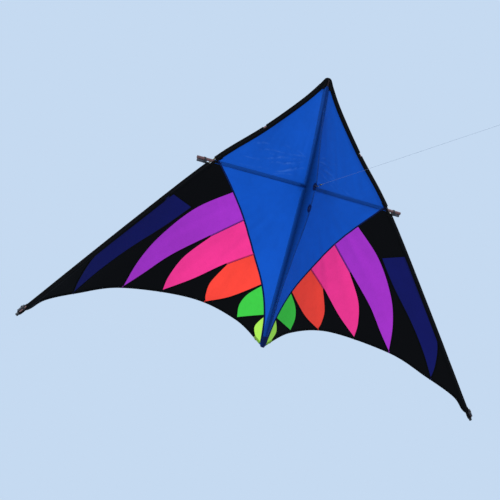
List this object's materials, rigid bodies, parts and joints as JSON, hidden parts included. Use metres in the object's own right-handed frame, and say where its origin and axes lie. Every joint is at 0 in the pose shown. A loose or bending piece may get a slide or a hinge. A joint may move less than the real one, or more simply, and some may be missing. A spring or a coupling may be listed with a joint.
{
  "type": "delta kite",
  "caption": "Delta kite: sewn sail of blue, black and coloured feather panels on a rod frame, with a keel, tow eyelets and a flying line on a snap swivel.",
  "frame": {"origin": "centre of the tow eyelet in the keel, where the flying line holds the kite", "axes": "+X towards the kite's right wing tip, +Y away from the flyer through the sail, +Z from the tail towards the nose"},
  "size_m": [2.153, 1.7497, 1.2598],
  "materials": {
    "ripstop_blue": "woven, thin, slightly glossy",
    "ripstop_black": "woven, thin, slightly glossy",
    "ripstop_purple": "woven, thin, slightly glossy",
    "ripstop_pink": "woven, thin, slightly glossy",
    "ripstop_orange": "woven, thin, slightly glossy",
    "ripstop_green": "woven, thin, slightly glossy",
    "ripstop_lime": "woven, thin, slightly glossy",
    "ripstop_navy": "woven, thin, slightly glossy",
    "fibreglass": "smooth pultruded rod",
    "vinyl": "flexible tube, satin",
    "vinyl_black": "moulded, satin",
    "brass": "plated, satin",
    "steel": "bright wire",
    "line": "braided"
  },
  "bodies": {
    "frame": {"spine": "fibreglass", "spine_pocket_upper": "ripstop_blue", "spine_pocket_lower": "ripstop_blue", "hub_cross": "vinyl_black", "nose_patch": "ripstop_black", "tail_cap": "vinyl_black"},
    "right_wing": {"right_centre_panel": "ripstop_blue", "right_base_panel": "ripstop_black", "right_tip_panel": "ripstop_black", "right_feather_purple": "ripstop_purple", "right_feather_pink": "ripstop_pink", "right_feather_orange": "ripstop_orange", "right_feather_green": "ripstop_green", "right_feather_lime": "ripstop_lime", "right_feather_navy": "ripstop_navy", "right_gore_purple_pink": "ripstop_black", "right_gore_pink_orange": "ripstop_black", "right_gore_orange_green": "ripstop_black", "right_gore_green_lime": "ripstop_black", "right_le_sleeve_upper": "ripstop_black", "right_le_sleeve_lower": "ripstop_black", "right_le_spar": "fibreglass", "right_le_spar_stopper": "vinyl", "right_tip_tube": "vinyl", "right_tip_cap": "vinyl_black", "right_cross_spar": "fibreglass", "right_hub_arm": "vinyl_black", "right_edge_connector": "vinyl"},
    "left_wing": {"left_centre_panel": "ripstop_blue", "left_base_panel": "ripstop_black", "left_tip_panel": "ripstop_black", "left_feather_purple": "ripstop_purple", "left_feather_pink": "ripstop_pink", "left_feather_orange": "ripstop_orange", "left_feather_green": "ripstop_green", "left_feather_lime": "ripstop_lime", "left_feather_navy": "ripstop_navy", "left_gore_purple_pink": "ripstop_black", "left_gore_pink_orange": "ripstop_black", "left_gore_orange_green": "ripstop_black", "left_gore_green_lime": "ripstop_black", "left_le_sleeve_upper": "ripstop_black", "left_le_sleeve_lower": "ripstop_black", "left_le_spar": "fibreglass", "left_le_spar_stopper": "vinyl", "left_tip_tube": "vinyl", "left_tip_cap": "vinyl_black", "left_cross_spar": "fibreglass", "left_hub_arm": "vinyl_black", "left_edge_connector": "vinyl"},
    "keel": {"keel": "ripstop_blue", "tow_eyelet": "brass", "spare_eyelet": "vinyl_black"},
    "ring": {"tow_ring": "steel"},
    "snap": {"snap_hook": "steel", "swivel_barrel": "brass"},
    "line": {"swivel_eye": "steel", "flying_line": "line", "line_end_loop": "line"}
  },
  "joints": [
    {"name": "right_wing_flex", "type": "hinge", "parent": "frame", "child": "right_wing", "pos_m": [0, 0.096, 0], "axis": [0, 0, 1], "range_deg": [-5, 15], "stiffness_Nm_per_rad": 6},
    {"name": "left_wing_flex", "type": "hinge", "parent": "frame", "child": "left_wing", "pos_m": [0, 0.096, 0], "axis": [0, 0, -1], "range_deg": [-5, 15], "stiffness_Nm_per_rad": 6},
    {"name": "keel_swing", "type": "hinge", "parent": "frame", "child": "keel", "pos_m": [0, 0.088, 0], "axis": [0, 0, 1], "range_deg": [-25, 25], "stiffness_Nm_per_rad": 1},
    {"name": "ring_swing", "type": "hinge", "parent": "keel", "child": "ring", "pos_m": [0, 0, 0], "axis": [1, 0, 0], "range_deg": [-30, 40]},
    {"name": "snap_swing", "type": "hinge", "parent": "ring", "child": "snap", "pos_m": [0, -0.02054, 0.00437], "axis": [1, 0, 0], "range_deg": [-20, 20]},
    {"name": "swivel_spin", "type": "hinge", "parent": "snap", "child": "line", "pos_m": [0, -0.05605, 0.01191], "axis": [0, -0.9781, 0.2079], "continuous": true}
  ]
}
